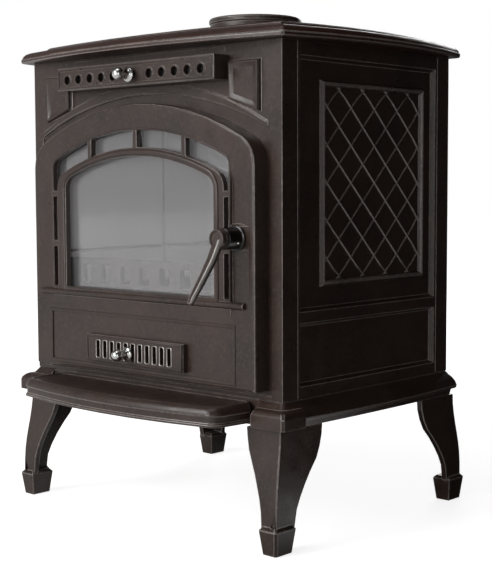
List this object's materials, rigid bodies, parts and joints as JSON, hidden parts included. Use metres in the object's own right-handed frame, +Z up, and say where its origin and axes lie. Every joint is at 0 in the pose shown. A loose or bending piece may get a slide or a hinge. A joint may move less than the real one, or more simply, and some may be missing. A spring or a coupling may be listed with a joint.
{
  "type": "cast-iron cabinet stove",
  "caption": "Rectangular cast-iron wood stove on cabriole legs: arched glazed door, sliding air controls, top flue collar, lattice sides and a bow-fronted hearth lip.",
  "frame": {"origin": "on the floor under the middle of the whole object's box", "axes": "+X to the right seen from the front, front door facing -Y, +Z up"},
  "size_m": [0.5908, 0.4994, 0.725],
  "materials": {
    "iron": "brown-black enamelled grey-iron casting, semi-gloss",
    "top_iron": "dark reddish-brown enamelled casting, semi-gloss",
    "bare_iron": "uncoated grey iron, dull from heat",
    "chrome": "bright chrome plate on turned steel",
    "steel": "plain steel",
    "glass": "clear heat-resistant ceramic glass",
    "rope": "woven glass-fibre sealing rope and tape, dusty grey",
    "brick": "pressed fire brick, matt buff"
  },
  "bodies": {
    "stove": {"leg_front_left": "iron", "leg_front_right": "iron", "leg_rear_left": "iron", "leg_rear_right": "iron", "base_plate": "iron", "ash_lip": "iron", "front_plate": "iron", "side_plate_left": "iron", "side_plate_right": "iron", "back_plate": "iron", "top_plate": "top_iron", "flue_collar": "iron", "hinge_pin_lower": "steel", "hinge_pin_upper": "steel", "air_housing": "iron", "brick_left": "brick", "brick_right": "brick", "brick_back": "brick", "baffle": "steel", "grate": "bare_iron", "log_guard": "bare_iron", "ash_pan": "steel"},
    "door": {"door": "iron", "door_glass": "glass", "glass_seal": "rope", "glass_clamp": "steel", "door_rope": "rope", "handle_hub": "iron"},
    "handle": {"handle_lever": "iron", "latch_cam": "steel"},
    "upper_air": {"air_slide": "steel", "air_knob": "chrome"},
    "lower_air": {"lower_slide": "iron", "lower_strap": "steel", "lower_knob": "chrome"}
  },
  "joints": [
    {"name": "door_hinge", "type": "hinge", "parent": "stove", "child": "door", "pos_m": [-0.231, -0.1627, 0.362], "axis": [0, 0, -1], "range_deg": [0, 110]},
    {"name": "handle_turn", "type": "hinge", "parent": "door", "child": "handle", "pos_m": [0.192, -0.1947, 0.407], "axis": [0, -1, 0], "range_deg": [0, 90]},
    {"name": "upper_air_slide", "type": "slide", "parent": "stove", "child": "upper_air", "axis": [1, 0, 0], "range_m": [-0.00615, 0.00615]},
    {"name": "lower_air_slide", "type": "slide", "parent": "door", "child": "lower_air", "axis": [1, 0, 0], "range_m": [0, 0.0073]}
  ]
}
